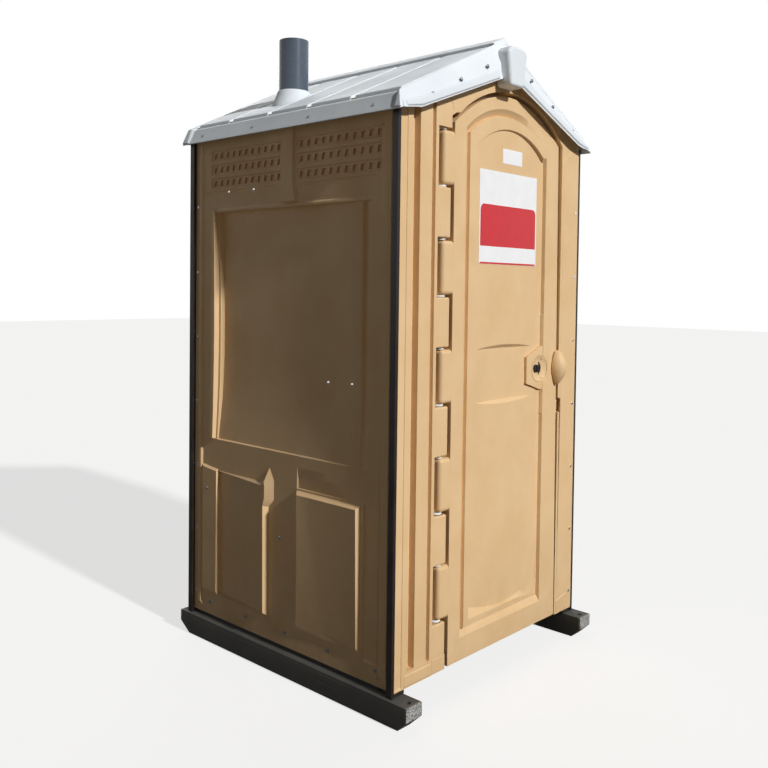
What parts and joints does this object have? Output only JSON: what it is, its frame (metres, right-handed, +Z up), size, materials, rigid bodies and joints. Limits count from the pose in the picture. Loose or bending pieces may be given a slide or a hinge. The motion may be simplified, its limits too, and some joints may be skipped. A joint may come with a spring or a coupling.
{
  "type": "portable toilet cabin",
  "caption": "Portable toilet cabin on two skids with a hinged arched door, ribbed gable roof, vent pipe, rotary lock, tank seat, urinal and paper holder.",
  "frame": {"origin": "on the ground, at the centre of the bounding box's footprint", "axes": "+X to the right of a person facing the door, +Y from the door to the back, +Z up"},
  "size_m": [1.176, 1.24, 2.373],
  "materials": {
    "skid_plastic": "worn charcoal recycled plastic",
    "steel": "zinc plated",
    "floor_plastic": "black moulded plastic",
    "post_plastic": "black satin extrusion",
    "tan_plastic": "sandy tan polyethylene, satin",
    "rivet_aluminium": "bright",
    "roof_plastic": "white polyethylene, satin",
    "pipe_plastic": "slate grey pipe",
    "liner_plastic": "off-white sheet",
    "bush_plastic": "white nylon",
    "lock_plastic": "black moulded plastic",
    "label_film": "white and red printed film",
    "tank_plastic": "grey moulded plastic",
    "rubber_seal": "matt",
    "seat_plastic": "black moulded plastic",
    "paper": "soft",
    "card": "raw"
  },
  "bodies": {
    "cabin": {"skid_left": "skid_plastic", "skid_right": "skid_plastic", "skid_bolts": "steel", "floor_pan": "floor_plastic", "floor_screws": "steel", "corner_post_front_left": "post_plastic", "corner_post_front_right": "post_plastic", "corner_post_back_left": "post_plastic", "corner_post_back_right": "post_plastic", "wall_left": "tan_plastic", "wall_right": "tan_plastic", "wall_back": "tan_plastic", "front_frame": "tan_plastic", "corner_rivets": "rivet_aluminium", "roof_shell": "roof_plastic", "roof_screws": "steel", "vent_pipe": "pipe_plastic", "hinge_rod": "steel", "hinge_bushes": "bush_plastic", "strike_block": "lock_plastic", "holding_tank": "tank_plastic", "tank_deck": "tank_plastic", "pipe_grommet": "rubber_seal", "seat_pin": "steel", "seat_posts": "tank_plastic", "urinal": "tank_plastic", "urinal_drain": "pipe_plastic", "paper_holder": "tank_plastic", "paper_rod": "steel", "coat_hook": "lock_plastic"},
    "door": {"door_shell": "tan_plastic", "door_liner": "liner_plastic", "pull_handle": "tan_plastic", "grab_handle": "lock_plastic", "number_plate": "label_film", "door_sticker": "label_film", "lock_plate": "tan_plastic"},
    "latch": {"latch_spindle": "lock_plastic", "indicator_disc": "lock_plastic", "latch_arm": "lock_plastic", "latch_knob": "lock_plastic"},
    "seat": {"toilet_seat": "seat_plastic"},
    "lid": {"seat_lid": "seat_plastic"},
    "front_roll": {"paper_roll_front": "paper", "paper_core_front": "card"},
    "back_roll": {"paper_roll_back": "paper", "paper_core_back": "card"}
  },
  "joints": [
    {"name": "door_hinge", "type": "hinge", "parent": "cabin", "child": "door", "pos_m": [-0.311, -0.516, 1.119], "axis": [0, 0, -1], "range_deg": [0, 100]},
    {"name": "latch_turn", "type": "hinge", "parent": "door", "child": "latch", "pos_m": [0.268, -0.498, 1.114], "axis": [0, 1, 0], "range_deg": [0, 90]},
    {"name": "seat_hinge", "type": "hinge", "parent": "cabin", "child": "seat", "pos_m": [0, 0.466, 0.614], "axis": [-1, 0, 0], "range_deg": [0, 95]},
    {"name": "lid_hinge", "type": "hinge", "parent": "cabin", "child": "lid", "pos_m": [0, 0.466, 0.614], "axis": [-1, 0, 0], "range_deg": [-100, 0]},
    {"name": "front_roll_spin", "type": "hinge", "parent": "cabin", "child": "front_roll", "pos_m": [0.454, 0.144, 0.905], "axis": [0, 1, 0], "continuous": true},
    {"name": "back_roll_spin", "type": "hinge", "parent": "cabin", "child": "back_roll", "pos_m": [0.454, 0.256, 0.905], "axis": [0, 1, 0], "continuous": true}
  ]
}
